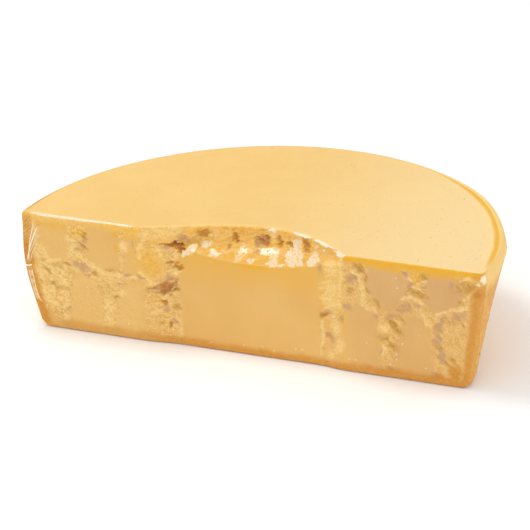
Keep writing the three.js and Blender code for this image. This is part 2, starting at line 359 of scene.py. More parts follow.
class ParmesanFilm(bpy.types.PropertyGroup):
    """The clear film"""
    gap: length("Gap", "How far the film stands in front of the cheese", 0.5)
    # the fold colours paint the milky gathers of the film and also the highlights painted on it
    tint: colour("Fold colour", "Milky colour of film that stands off the cheese", tone(233, 212, 174))
    thin: colour("Thin fold colour", "Colour where the milky film thins out", tone(232, 182, 96))
    bright: colour("Gather colour", "Colour of gathered film", tone(252, 240, 216))
    roughness: share("Roughness", "Roughness of the film's shine", 0.18)
    wrinkle: length("Wrinkle height", "Height of the film's wrinkles over the crumb", 0.35)


class ParmesanStudio(bpy.types.PropertyGroup):
    """Camera, floor and light"""
    azimuth: angle("Azimuth", "Turn of the camera to the right of the front", 24.5)
    elevation: angle("Elevation", "Angle of the camera above the floor", 24.1)
    roll: angle("Roll", "Tilt of the camera about its own axis", -2.8)
    distance: length("Distance", "Distance from the camera to the middle of the cheese", 2687)
    focal: bpy.props.FloatProperty(name="Focal length", description="Lens of the camera", default=203.8,
                                   unit="CAMERA")
    sky: share("Sky strength", "Brightness of the white surroundings", 0.86, 3.0)
    lamp: power("Lamp power", "Power of the soft lamp overhead", 7.0)
    lamp_size: length("Lamp size", "Side of the square lamp", 470)
    fill: power("Fill power", "Power of the broad lamp in front", 7.0)


GROUPS = {"parmesan_wheel": ParmesanWheel, "parmesan_paste": ParmesanPaste, "parmesan_rind": ParmesanRind,
          "parmesan_film": ParmesanFilm, "parmesan_studio": ParmesanStudio}


def in_mm(group):
    """The lengths of a property group as plain numbers in millimetres, or arrays of them"""
    sizes = {}
    for prop in group.bl_rna.properties:
        if getattr(prop, "unit", "NONE") == "LENGTH":
            value = getattr(group, prop.identifier)
            sizes[prop.identifier] = np.array(value) / MM if prop.array_length else value / MM
    return SimpleNamespace(**sizes)


# Shapes shared by the cheese and its film

def smooth(low, high, value):
    part = np.clip((value - low) / (high - low), 0.0, 1.0)
    return part * part * (3.0 - 2.0 * part)


def lattice(across, up, seed):
    """Repeatable values from -1 to 1 at whole-number places"""
    mixed = (across.astype(np.int64) * 374761393 + up.astype(np.int64) * 668265263 + seed * 1274126177) & 0xFFFFFFFF
    mixed = ((mixed ^ (mixed >> 13)) * 1103515245) & 0xFFFFFFFF
    return ((mixed ^ (mixed >> 16)) & 0xFFFFFF) / 0x7FFFFF - 1.0


def ripple(x, z, size, seed):
    """Smooth noise from -1 to 1 with lumps of about this size"""
    across, up = x / size, z / size
    left, low = np.floor(across), np.floor(up)
    right_part, up_part = smooth(0, 1, across - left), smooth(0, 1, up - low)
    value = 0.0
    for step_x in (0, 1):
        for step_z in (0, 1):
            weight = np.abs(1 - step_x - right_part) * np.abs(1 - step_z - up_part)
            value = value + weight * lattice(left + step_x, low + step_z, seed)
    return value


def rumple(x, z, size, seed, layers=3):
    """Noise with finer noise on top of it, from about -1 to 1"""
    return sum(ripple(x, z, size / 2 ** i, seed + 17 * i) / 1.7 ** i for i in range(layers)) / 1.6


def facets(x, z, size, seed):
    """Angular lumps like broken paste: a tilted facet for each cell, and how near its border is"""
    across, up = x / size, z / size
    home_x, home_z = np.floor(across), np.floor(up)
    nearest = np.full(np.shape(x), 9.0)
    second = np.full(np.shape(x), 9.0)
    level = np.zeros(np.shape(x))
    for step_x in (-1, 0, 1):
        for step_z in (-1, 0, 1):
            cell_x, cell_z = home_x + step_x, home_z + step_z
            off_x = across - cell_x - 0.5 - 0.42 * lattice(cell_x, cell_z, seed)
            off_z = up - cell_z - 0.5 - 0.42 * lattice(cell_x, cell_z, seed + 1)
            away = np.hypot(off_x, off_z)
            tilt = off_x * lattice(cell_x, cell_z, seed + 2) + off_z * lattice(cell_x, cell_z, seed + 3)
            facet = 0.55 * lattice(cell_x, cell_z, seed + 4) + 0.9 * tilt
            closer = away < nearest
            second = np.where(closer, nearest, np.minimum(second, away))
            level = np.where(closer, facet, level)
            nearest = np.where(closer, away, nearest)
    return level, smooth(0.0, 0.25, second - nearest)


def around(radii, bearing):
    """A radius that is given at the five bearings, at any bearing between them"""
    degrees = np.degrees(bearing)
    radius = radii[0]
    for i in range(1, len(BEARINGS)):
        radius = radius + (radii[i] - radii[i - 1]) * smooth(BEARINGS[i - 1], BEARINGS[i], degrees)
    return radius


def side_radius(w, bearing, z):
    """Radius of the round side: foot rounding, taper, knee, belly and shoulder"""
    foot, knee, belly = (around(r, bearing) for r in (w.foot_radius, w.knee_radius, w.belly_radius))
    below = (knee - foot) / w.knee_height
    above = (belly - knee) / (w.belly_height - w.knee_height)
    climbed = np.minimum(z, w.belly_height)
    bend = np.clip((climbed - w.knee_height + w.knee_blend) / (2 * w.knee_blend), 0, 1)
    past = np.maximum(climbed - w.knee_height - w.knee_blend, 0)
    upright = (above - below) * (w.knee_blend * bend ** 2 + past)
    foot_corner = rounding(w.foot_round, z)
    roll = np.clip((z - w.belly_height) / (w.height - w.belly_height), 0, 1)
    shoulder = (belly - around(w.top_radius, bearing)) * (1 - np.sqrt(1 - roll ** 2))
    return foot + below * climbed + upright - foot_corner - shoulder


def rounding(radius, distance):
    """How far a rounded edge of this radius lies back, at this distance from the edge"""
    rest = np.clip(radius - distance, 0, radius)
    return radius - np.sqrt(np.maximum(radius ** 2 - rest ** 2, 0))


def base_depth(w, x, z):
    """Depth of the broken face without its crumb: the panel's recess, the shelf and the arch"""
    on_left = x < ARCH_MIDDLE
    reach = np.minimum(np.abs(x - ARCH_MIDDLE) / np.where(on_left, *ARCH_HALVES), 1.0)
    arch = w.arch_depth * np.maximum(np.cos(reach * math.pi / 2), 0.0) ** np.where(on_left, *ARCH_POWERS)
    flat = w.panel_low + (w.panel_high - w.panel_low) * smooth(0, w.crease_height, z)
    panel = flat * smooth(RECESS_LEFT, PANEL_LEFT, x) * (1 - smooth(PANEL_RIGHT, RECESS_RIGHT, x))
    crease = w.crease_height + w.crease_rise * ((x - CREASE_MIDDLE) / PANEL_RIGHT) ** 2
    climb = np.clip((z - crease) / (w.height - crease), 0, 1)
    return panel + np.maximum(arch - panel, 0) * (1 - (1 - climb) ** SHELF_STEEPNESS)


def fibres(x, z, turn, along, across, seed):
    """Noise drawn out along a direction, as torn paste is"""
    c, s = np.cos(turn), np.sin(turn)
    return ripple((x * c + z * s) / along, (z * c - x * s) / across, 1.0, seed)


def bent(x, z, amount, size, seeds, layers=3):
    """The same places, shifted by noise"""
    return [way + amount * rumple(x, z, size, seed, layers) for way, seed in zip((x, z), seeds)]


def blob(x, z, spot, softness=0.45, jag=0.0):
    """1 in the middle of an oval spot, 0 outside it"""
    middle_x, middle_z, half_width, half_height, degrees = spot
    turn = math.radians(degrees)
    off_x, off_z = x - middle_x, z - middle_z
    along = (off_x * math.cos(turn) + off_z * math.sin(turn)) / half_width
    across = (off_z * math.cos(turn) - off_x * math.sin(turn)) / half_height
    return smooth(1.0 + softness, 1.0 - softness, np.hypot(along, across) + jag)


def line_distance(x, z, points):
    """Distance to a chain of straight lines"""
    best = np.full(np.shape(x), 1e3)
    for (x0, z0), (x1, z1) in zip(points, points[1:]):
        step_x, step_z = x1 - x0, z1 - z0
        along = np.clip(((x - x0) * step_x + (z - z0) * step_z) / (step_x ** 2 + step_z ** 2), 0, 1)
        best = np.minimum(best, np.hypot(x - x0 - along * step_x, z - z0 - along * step_z))
    return best


def island_distance(x, z, points):
    """Distance outside an island's outline, or 0 within it"""
    inside = np.zeros(np.shape(x), bool)
    closed = points + points[:1]
    for (x0, z0), (x1, z1) in zip(closed, closed[1:]):
        if z0 != z1:
            crosses = (z0 > z) != (z1 > z)
            inside ^= crosses & (x < x0 + (x1 - x0) * (z - z0) / (z1 - z0))
    return np.where(inside, 0.0, line_distance(x, z, closed))


def slanted(w, x, z):
    """Where the front view shows a place of the broken face"""
    depth = base_depth(w, x, z)
    return x + SLANT_X * depth, z + SLANT_Z * depth


def from_slanted(w, seen_x, seen_z):
    """The place of the broken face that the front view shows here"""
    x, z = np.array(seen_x, float), np.array(seen_z, float)
    for _ in range(12):
        depth = base_depth(w, x, np.minimum(z, w.height))
        x = x + 0.5 * (seen_x - SLANT_X * depth - x)
        z = z + 0.5 * (seen_z - SLANT_Z * depth - z)
    return x, z


def zones(x, z):
    """Masks of the parts of the broken face, at slanted places"""
    bent_x, bent_z = bent(x, z, 2.0, 9, (3, 5))
    gap = np.minimum.reduce([island_distance(bent_x, bent_z, points) for points in ISLANDS])
    past_left, before_right = smooth(*LEFT_FLANK, bent_x), 1 - smooth(*RIGHT_FLANK, bent_x)
    flank = 1 - past_left * before_right
    above = smooth(-0.8, 0.8, z - np.interp(x, *CREASE))
    panel = smooth(*PANEL_START, x + 1.2 * rumple(x, z, 8, 7))
    panel = panel * (1 - smooth(*PANEL_END, x + 1.5 * rumple(x, z, 14, 9)))
    return SimpleNamespace(
        x=x, z=z, flank=flank, valley=flank * smooth(-1.5, 6.5, gap), panel=panel * (1 - above),
        scoop=smooth(-73, -66, x) * (1 - smooth(62, 67, x)) * above,
        left=past_left * (1 - smooth(*PANEL_START, x)), right=smooth(*PANEL_END, x) * before_right)


def torn_paste(x, z):
    """Noise of torn paste at slanted places: shifted places, strands, grain and the lumps that they make"""
    warp_x, warp_z = (way + 0.5 * ripple(x, z, 1.8, seed)
                      for way, seed in zip(bent(x, z, 1.5, 6, (21, 31)), (22, 32)))
    turn = np.where(x > RECESS_RIGHT, -0.85, np.where(x > LEFT_FLANK[0], 0.35, -0.5))
    big, border = facets(warp_x, warp_z, 8.5, 41)
    small, _ = facets(warp_x, warp_z, 4.0, 51)
    fine = rumple(x, z, 2.2, 61)
    strand = fibres(warp_x, warp_z, turn, 7.0, 2.0, 65)
    hair = fibres(warp_x, warp_z, turn, 3.4, 1.1, 67)
    lump = 0.3 * big + 0.22 * small + 0.36 * strand + 0.3 * hair + 0.2 * fine - 0.12 * (1 - border)
    return SimpleNamespace(x=warp_x, z=warp_z, turn=turn, fine=fine, strand=strand, hair=hair, lump=lump,
                           jag=0.32 * strand + 0.3 * hair + 0.2 * fine)


def edge_distances(w, x, z):
    """Distances to the right end, to the left end and to the nearest edge of the broken face"""
    to_right = side_radius(w, 0.0, z) - x
    to_left = x + side_radius(w, math.pi, z)
    return to_right, to_left, np.minimum(np.minimum(to_right, to_left), z)


def lift(masks, name, *values):
    """Raises a mask to at least these values"""
    masks[name] = np.maximum.reduce([masks[name], *values])


def broken_face(w, x, z):
    """Relief of the broken face, deeper being more, and the masks for its colours"""
    zone = zones(*slanted(w, x, z))
    torn = torn_paste(zone.x, zone.z)
    lobe = blob(zone.x, zone.z, (-97, 76, 12, 16, 15))
    crumb = np.clip(zone.valley + 0.85 * zone.left + 0.35 * zone.right + 0.45 * zone.scoop, 0, 1)
    crumb = crumb * (1 - 0.75 * blob(zone.x, zone.z, (-84, 103, 15, 6, 20))) * (1 - 0.6 * lobe)
    crumb = crumb * (1 - zone.flank * smooth(101.5, 106.5, zone.z))
    relief = crumb * (0.6 - 0.5 * np.clip(torn.lump, -0.9, 0.8))
    shallow = 0.4 + 0.2 * np.maximum(zone.left, zone.scoop)
    masks = {name: np.zeros(np.shape(x)) for name in (*HOLLOWS, "cream")}
    for tint, spots in HOLLOWS.items():
        deep = tint in ("brown_shade", "crevice")
        softness, jag = (0.7, 1.5 * torn.jag) if deep else (0.5, torn.jag)
        for *spot, depth in spots:
            inside = blob(torn.x, torn.z, spot, softness, jag)
            relief = relief + shallow * depth * inside * (1 - 0.3 * torn.fine)
            lift(masks, tint, inside)
            # the painted shade of the deep hollows fades out through golden and olive rings round them
            if deep:
                lift(masks, "golden", 0.9 * smooth(0.0, 0.35, inside))
                lift(masks, "olive", 0.8 * smooth(0.0, 0.45, inside))
    for *spot, height in LUMPS:
        inside = blob(torn.x, torn.z, spot, 0.6, torn.jag)
        relief = relief - 0.8 * height * inside
        lift(masks, "cream", 0.95 * inside * (1 - 0.9 * lobe))
    for half, height, *points in RIDGES:
        crest = smooth(1.6 * half, 0.2 * half, line_distance(torn.x, torn.z, points) + 0.8 * half * torn.jag)
        relief = relief - height * crest
        lift(masks, "cream", 0.9 * crest)
    for *spot, strength in GOLDS:
        lift(masks, "golden", strength * blob(torn.x, torn.z, spot, 0.7))
    tint_parts(w, x, z, zone, torn, crumb, masks)
    masks["lump"], masks["crumb"] = torn.lump, crumb
    masks["ochre"] = smooth(84, 100, zone.x) * (1 - 0.7 * crumb) * (0.5 + 0.5 * smooth(45, 80, zone.z))
    way_x, way_z = np.cos(torn.turn), np.sin(torn.turn)
    masks["strands"] = np.stack([torn.x * way_x + torn.z * way_z, torn.z * way_x - torn.x * way_z, torn.x * 0], -1)
    fade = smooth(0, 5, edge_distances(w, x, z)[2]) * (0.25 + 0.75 * smooth(0, 3, w.height - z))
    return np.maximum(relief, -0.1) * fade, masks


def tint_parts(w, x, z, zone, torn, crumb, masks):
    """Adds the colours of the edges, the panel, the scoop and the flanks to the masks"""
    seen_x, seen_z, strand = zone.x, zone.z, torn.strand
    to_right, to_left, _ = edge_distances(w, x, z)
    # amber paste along the foot and beside the rind
    foot = smooth(12.0, 4.5, seen_z + 2.2 * rumple(seen_x, seen_z, 9, 71)) * (1 - 0.3 * smooth(-70, -120, seen_x))
    beside = smooth(13.0, 7.5, to_right + 2.0 * rumple(seen_x, seen_z, 8, 73)) * (1 - 0.5 * smooth(90, 104, z))
    beside = beside * (0.65 + 0.35 * smooth(1.0, 5.0, to_right))
    corner = smooth(28, 8, np.hypot(to_left, seen_z) + 3.0 * rumple(seen_x, seen_z, 8, 75))
    left = smooth(12.5, 8.0, to_left + 1.5 * rumple(seen_x, seen_z, 8, 77)) * (1.0 - 0.5 * smooth(78, 90, z))
    lift(masks, "amber", foot, beside, 0.85 * corner, left)
    # golden places: painted shade at the top of the panel under the scoop, and golden paste in the scoop, on the
    # right wall and under the top edge
    under_edge = smooth(100.5, 107.5, seen_z + 1.2 * rumple(seen_x, seen_z, 16, 83)) * zone.flank
    lift(masks, "golden", 0.45 * smooth(55, 86, seen_z) * zone.panel, 0.75 * zone.scoop * (1 + 0.3 * strand),
         0.4 * zone.right * (1 + 0.5 * strand) * smooth(40, 70, seen_z),
         under_edge * (0.6 + 0.4 * smooth(-170, -120, seen_x)))
    # darker places low in the scoop, and hatching high at the left end
    between = zone.scoop * smooth(112, 104, seen_z) * smooth(-0.6, 0.6, strand)
    stripes = np.sin((seen_x - seen_z + 2.0 * rumple(seen_x, seen_z, 7, 79)) * 1.9) + 0.5 * torn.hair
    hatch = smooth(0.2, 0.8, stripes) * smooth(11.0, 7.0, to_left) * smooth(58, 66, z) * smooth(109, 105, z)
    lift(masks, "crevice", 0.12 * between, 0.5 * hatch)
    # pale places: painted highlights on the pillars high in the scoop, and pale paste along the left part of the top
    # edge and on the left flank
    bright = 0.45 * zone.scoop * smooth(97, 106, seen_z) * smooth(-0.6, 0.4, strand)
    pale_edge = np.maximum(0.45 * under_edge * smooth(-112, -122, seen_x),
                           0.8 * blob(seen_x, seen_z, (-86, 107, 24, 7, 5), 0.6, torn.jag))
    wash = 0.3 * smooth(-95, -115, seen_x) * smooth(62, 48, seen_z) * (1 - crumb)
    pale_crumb = 0.75 * smooth(-172, -184, seen_x) * zone.valley * smooth(-0.35, 0.35, torn.lump)
    lift(masks, "cream", bright * (1 - masks["brown_shade"]) * (1 - masks["mauve"]),
         pale_edge * (1 - masks["brown_shade"]) * (1 - masks["crevice"]), wash, pale_crumb)


def film_face(w, x, z, wrinkle):
    """Relief of the film over the broken face, and how milky it is where highlights are painted on it"""
    zone = zones(*slanted(w, x, z))
    bend_x, bend_z = bent(zone.x, zone.z, 1.7, 3.2, (121, 131), 4)
    loose = np.clip(0.7 * zone.valley + 0.7 * zone.left + 0.4 * zone.right + zone.scoop, 0, 1)
    wrinkles = 0.55 + wrinkle * rumple(zone.x, zone.z, 7, 141, 2) + 0.6 * wrinkle * ripple(zone.x, zone.z, 3, 143)
    shine = np.zeros(np.shape(x))
    for strength, *outline in GLINTS:
        shine = np.maximum(shine, strength * smooth(1.4, 0.0, island_distance(bend_x, bend_z, outline)))
    relief = np.maximum(loose * wrinkles - 0.06 * shine, 0.0)
    # painted highlight along the rounded edge at the left of the top
    reach = 1.35 + 0.65 * smooth(-125, -195, x) + 0.3 * rumple(x, z * 0, 11, 155, 2)
    lip_highlight = smooth(w.height - reach, w.height - reach + 0.7, z) * smooth(-104, -118, x) * smooth(-219, -210, x)
    slack = 0.9 * smooth(-202, -208, x)
    edge = edge_distances(w, x, z)[2]
    return relief * smooth(0, 5, edge) * smooth(0, 4, w.height - z) + slack, np.maximum(shine, 1.15 * lip_highlight)


# Building a closed skin from rings

def ring_stations(w, inset, plan):
    """Heights of the rings with how far each is pulled in: under the foot, up the side, over the top"""
    low, high = inset, w.height - inset
    heights = [low + (w.foot_round - low) * (1 - math.cos(i / plan.foot * math.pi / 2)) for i in range(plan.foot)]
    shelf, top_round = w.crease_height - 1.5, high - TOP_ROUND
    bands = ((w.foot_round, plan.wall_step), (shelf, plan.shelf_step), (shelf + 10, 1.8 * plan.shelf_step),
             (w.crease_height + 16, 0.8 * plan.wall_step), (top_round, 0.0))
    for (start, step), (stop, _) in zip(bands, bands[1:]):
        heights += list(np.linspace(start, stop, round((stop - start) / step), endpoint=False))
    heights += [high - TOP_ROUND * (1 - math.sin(i / TOP_STEPS * math.pi / 2)) for i in range(TOP_STEPS + 1)]
    return np.array([*((low, pull) for pull in reversed(plan.pulls)), *((z, 0.0) for z in heights),
                     *((high, pull) for pull in plan.pulls)])


def skin(w, inset, plan, relief_of):
    """Points of every ring, the relief's masks over them, and what each ring and place is"""
    stations = ring_stations(w, inset, plan)
    count = plan.columns + ARC_STEPS
    z = np.repeat(stations[:, :1], count, axis=1)
    pull = np.repeat(stations[:, 1:], count, axis=1)
    rise = np.clip((z - inset) / (w.height - 2 * inset), 0, 1) * w.height
    # rings over the flats are pulled in from the outline at their height
    radius_right = side_radius(w, 0.0, rise) - inset - pull
    radius_left = side_radius(w, math.pi, rise) - inset - pull
    start = np.arcsin((w.corner_round + pull) / radius_right)
    end = math.pi - np.arcsin((w.left_round + pull) / radius_left)
    place = np.arange(count)
    front = place <= plan.columns
    right, left = radius_right * np.cos(start), radius_left * np.cos(end)
    x = left + (right - left) * np.clip(place / plan.columns, 0, 1)
    relief, masks = relief_of(x, rise)
    top_round = 0.5 + 2.4 * smooth(-100, -112, x) + 0.9 * smooth(86, 60, np.abs(x))
    y = base_depth(w, x, rise) + relief + inset + pull
    y = y + rounding(w.left_round, x - left) + rounding(w.corner_round, right - x)
    y = y + rounding(top_round, w.height - inset - z) + rounding(0.8, z - inset)
    bearing = start + (end - start) * np.clip((place - plan.columns) / ARC_STEPS, 0, 1)
    radius = side_radius(w, bearing, rise) - inset - pull
    number, flat = np.arange(len(stations))[:, None], len(plan.pulls)
    under, top = number < flat, number >= len(stations) - flat
    wall = ~(under | top)
    x = np.where(front, x, radius * np.cos(bearing))
    y = np.where(front, y, radius * np.sin(bearing))
    return SimpleNamespace(x=x, y=y, z=z, pull=pull, bearing=bearing, degrees=np.degrees(bearing), masks=masks,
                           front=front, under=under, top=top, face=wall & front, side=wall & ~front)


def placed(w, x, y, z):
    """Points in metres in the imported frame, from millimetres about the wheel's axis"""
    right = HIGH.x / MM - side_radius(w, 0.0, np.linspace(0, w.height, 221)).max()
    return np.stack([x + right, y + LOW.y / MM, z + LOW.z / MM], axis=-1) * MM


def closed_mesh(name, w, hull):
    """A mesh from the rings, with both ends filled"""
    points = placed(w, hull.x, hull.y, hull.z)
    rings, count = hull.x.shape
    first = np.arange(rings - 1)[:, None] * count + np.arange(count)
    second = np.arange(rings - 1)[:, None] * count + (np.arange(count) + 1) % count
    faces = np.stack([first, second, second + count, first + count], axis=-1).reshape(-1, 4).tolist()
    faces += [list(range(count - 1, -1, -1)), list(range((rings - 1) * count, rings * count))]
    mesh = bpy.data.meshes.new(name)
    mesh.from_pydata(points.reshape(-1, 3).tolist(), [], faces)
    mesh.validate()
    return mesh


def paint(mesh, name, values, kind="FLOAT"):
    """Keeps a number, or a direction, for every point of the mesh"""
    field = "vector" if kind == "FLOAT_VECTOR" else "value"
    mesh.attributes.new(name, kind, "POINT").data.foreach_set(field, np.asarray(values, np.float32).ravel())


def add_object(name, data):
    """A new object in the scene"""
    made = bpy.data.objects.new(name, data)
    bpy.context.scene.collection.objects.link(made)
    return made


def new_piece(name, mesh, slot, *finishes):
    """A smooth object for the mesh that rides with the cheese"""
    mesh.polygons.foreach_set("use_smooth", [True] * len(mesh.polygons))
    mesh.update()
    for finish in finishes:
        mesh.materials.append(finish)
    piece = add_object(name, mesh)
    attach(piece, BODY)
    return piece


# Shader building

class Graph:
    """Adds nodes to a tree and joins them. A node that is given as a value stands for its first output."""

    def __init__(self, tree):
        self.tree = tree

    def add(self, kind, values=None, **settings):
        node = self.tree.nodes.new(kind)
        for key, value in settings.items():
            setattr(node, key, value)
        for key, value in (values or {}).items():
            self.feed(node.inputs[key], value)
        return node

    def feed(self, socket, value):
        if isinstance(value, bpy.types.Node):
            value = value.outputs[0]
        if isinstance(value, bpy.types.NodeSocket):
            self.tree.links.new(value, socket)
        elif socket.type == "RGBA" and len(value) == 3:
            socket.default_value = (*value, 1.0)
        else:
            socket.default_value = value

    def mix(self, factor, first, second):
        return self.add("ShaderNodeMix", {0: factor, 6: first, 7: second}, data_type="RGBA").outputs[2]

    def math(self, operation, *values):
        return self.add("ShaderNodeMath", dict(enumerate(values)), operation=operation)

    def times(self, first, second):
        return self.math("MULTIPLY", first, second)

    def plus(self, first, second):
        return self.math("ADD", first, second)

    def scaled(self, value, factor, start):
        return self.math("MULTIPLY_ADD", value, factor, start)

    def mask(self, name):
        return self.add("ShaderNodeAttribute", attribute_name=name).outputs["Fac"]

    def ramp(self, value, low, high, start=0.0, stop=1.0):
        return self.add("ShaderNodeMapRange", {0: value, 1: low, 2: high, 3: start, 4: stop},
                        interpolation_type="SMOOTHSTEP")

    def object_place(self):
        return self.add("ShaderNodeTexCoord").outputs["Object"]

    def noise(self, scale, detail=2.0, place=None, distortion=0.0):
        return self.add("ShaderNodeTexNoise", {"Vector": place or self.object_place(), "Scale": scale,
                                               "Detail": detail, "Distortion": distortion})

    def cells(self, scale):
        values = {"Vector": self.object_place(), "Scale": scale}
        return self.add("ShaderNodeTexVoronoi", values).outputs["Distance"]

    def grain(self, scale):
        return self.add("ShaderNodeGroup", {"Scale": scale}, node_tree=grain_group()).outputs

    def bump(self, strength, distance, height):
        return self.add("ShaderNodeBump", {"Strength": strength, "Distance": distance, "Height": height})

    def principled(self, tint, roughness, **values):
        """A solid's finish; a space in an input's name is written as an underscore"""
        inputs = {key.replace("_", " "): value for key, value in values.items()}
        return self.add("ShaderNodeBsdfPrincipled", {"Base Color": tint, "Roughness": roughness, **inputs})

    def finish(self, shader):
        self.add("ShaderNodeOutputMaterial", {"Surface": shader})


def material(name):
    """An empty material with its graph"""
    made = bpy.data.materials.new(name)
    made.use_nodes = True
    made.node_tree.nodes.clear()
    return made, Graph(made.node_tree)


def new_sockets(tree, direction, sockets):
    for name, kind, value in sockets:
        socket = tree.interface.new_socket(name, in_out=direction, socket_type="NodeSocket" + kind)
        if value is not None:
            socket.default_value = value


def grain_group():
    """Fine grain of cheese: a height for bump and an even spread of paler and darker specks"""
    name = "Cheese grain"
    if name in bpy.data.node_groups:
        return bpy.data.node_groups[name]
    group = bpy.data.node_groups.new(name, "ShaderNodeTree")
    new_sockets(group, "INPUT", [("Scale", "Float", 900.0)])
    new_sockets(group, "OUTPUT", [("Height", "Float", None), ("Specks", "Float", None)])
    graph = Graph(group)
    scale = graph.add("NodeGroupInput").outputs["Scale"]
    coarse = graph.noise(scale, 3.0)
    finer = graph.noise(graph.times(scale, 2.7))
    height = graph.plus(graph.times(coarse, 0.7), graph.times(graph.cells(graph.times(scale, 0.8)), 0.3))
    graph.add("NodeGroupOutput", {"Height": height, "Specks": graph.scaled(finer, 0.5, graph.times(coarse, 0.5))})
    return group


def paste_material(paste):
    """Cheese paste: smooth, crumbled, golden, olive and mauve places from the masks on the mesh"""
    made, graph = material("parmesan_paste")
    grain = graph.grain(900.0)
    broad = graph.noise(22.0, 3.0, distortion=0.4)
    patches = graph.noise(95.0, 3.0, distortion=0.6)
    crumbs = graph.noise(420.0, 4.0)
    flecks = graph.noise(850.0, 3.0, distortion=0.8)
    crumb = graph.mask("crumb")
    across = graph.add("ShaderNodeSeparateXYZ", {0: graph.object_place()})
    # painted sheen: the sawn top grows paler towards its right end
    sawn = graph.mix(graph.ramp(across, -0.05, 0.2), paste.sawn, paste.sawn_sheen)
    base = graph.mix(graph.mask("sawn"), paste.smooth, sawn)
    base = graph.mix(graph.mask("ochre"), base, paste.ochre)
    base = graph.mix(graph.ramp(broad, 0.35, 0.7, 0.0, 0.16), base, paste.cream)

    # the height of the crumb, drawn out along the torn strands, makes its crests pale as painted highlight and its
    # dips olive as painted shade; flecks add pale and dark specks
    way = graph.add("ShaderNodeAttribute", attribute_name="strands").outputs["Vector"]
    drawn = graph.add("ShaderNodeMapping", {"Vector": way, "Scale": (0.16, 0.75, 1.0)})
    strands = graph.noise(1.0, 3.0, drawn, 0.5)
    height = graph.scaled(graph.mask("lump"), 0.6, graph.scaled(crumbs, 2.2, -1.1))
    height = graph.plus(height, graph.scaled(strands, 2.4, -1.2))
    height = graph.plus(height, graph.scaled(patches, 0.9, -0.45))
    most_pale = graph.times(crumb, graph.ramp(across, -0.06, 0.1, 0.85, 0.42))
    crest_highlight_and_flecks = graph.math("MAXIMUM", graph.times(graph.ramp(height, -0.45, 0.6), most_pale),
                      graph.times(graph.ramp(flecks, 0.56, 0.68), graph.times(crumb, 0.75)))
    shade = graph.math("MAXIMUM", graph.times(graph.ramp(height, -0.15, -1.0), graph.times(crumb, 0.5)),
                       graph.times(graph.ramp(flecks, 0.45, 0.34), graph.times(crumb, 0.7)))
    base = graph.mix(graph.mask("golden"), base, paste.golden)
    base = graph.mix(crest_highlight_and_flecks, base, paste.cream)
    base = graph.mix(shade, base, paste.olive)
    for name, strength, least in (("olive", 0.95, 0.15), ("cream", 0.9, 0.4), ("mauve", 0.95, 0.35),
                                  ("amber", 0.95, 0.65), ("brown_shade", 1.0, 0.6), ("crevice", 1.0, 0.9)):
        uneven = graph.ramp(graph.plus(crumbs, strands), 0.78, 1.15, least, 1.0)
        weight = graph.times(graph.mask(name), graph.times(uneven, strength))
        base = graph.mix(weight, base, getattr(paste, name))
    base = graph.mix(graph.ramp(grain["Specks"], 0.35, 0.65, 0.0, 0.1), base, paste.cream)
    base = graph.mix(graph.times(graph.ramp(grain["Specks"], 0.5, 0.3), 0.12), base, paste.olive)

    torn = graph.plus(graph.plus(grain["Height"], strands), graph.times(crumbs, 1.5))
    bump = graph.bump(0.5, 0.0008, graph.times(torn, graph.scaled(crumb, 0.85, 0.15)))
    graph.finish(graph.principled(
        base, graph.scaled(crumb, 0.25, paste.roughness), Normal=bump, Subsurface_Weight=paste.scatter,
        Subsurface_Radius=(1.0, 0.5, 0.18), Subsurface_Scale=0.003, Specular_IOR_Level=0.1))
    return made


def rind_material(rind):
    """Waxy rind with oiled blotches, pores and the faint print of the cloth it was moulded in"""
    made, graph = material("parmesan_rind")
    grain = graph.grain(700.0)
    blotch = graph.noise(34.0, 4.0, distortion=0.8)
    pores = graph.cells(260.0)
    cloth = graph.add("ShaderNodeUVMap", uv_map="around")
    threads = [graph.add("ShaderNodeTexWave", {"Vector": cloth, "Scale": 0.32, "Distortion": 1.2, "Detail": 1.0},
                         bands_direction=way).outputs["Fac"] for way in ("X", "Y")]
    base = graph.mix(graph.ramp(blotch, 0.35, 0.68), rind.light, rind.dark)
    # painted highlight: the side is paler where it rolls in under the sawn top
    base = graph.mix(graph.mask("shoulder"), base, rind.shoulder)
    base = graph.mix(graph.times(graph.mask("amber"), 0.8), base, rind.dark)
    base = graph.mix(graph.mask("crevice"), base, rind.dot)
    base = graph.mix(graph.ramp(pores, 0.22, 0.05, 0.0, 0.5), base, rind.dark)
    base = graph.mix(graph.ramp(grain["Specks"], 0.35, 0.65, 0.0, 0.2), base, rind.shoulder)
    height = graph.plus(graph.times(graph.math("MAXIMUM", *threads), 0.5), grain["Height"])
    height = graph.math("SUBTRACT", height, graph.ramp(pores, 0.2, 0.0, 0.0, 0.5))
    graph.finish(graph.principled(
        base, graph.ramp(blotch, 0.3, 0.7, 0.42, 0.6), Normal=graph.bump(0.4, 0.0006, height), Subsurface_Weight=0.15,
        Subsurface_Radius=(1.0, 0.4, 0.12), Subsurface_Scale=0.003, Specular_IOR_Level=0.2))
    return made


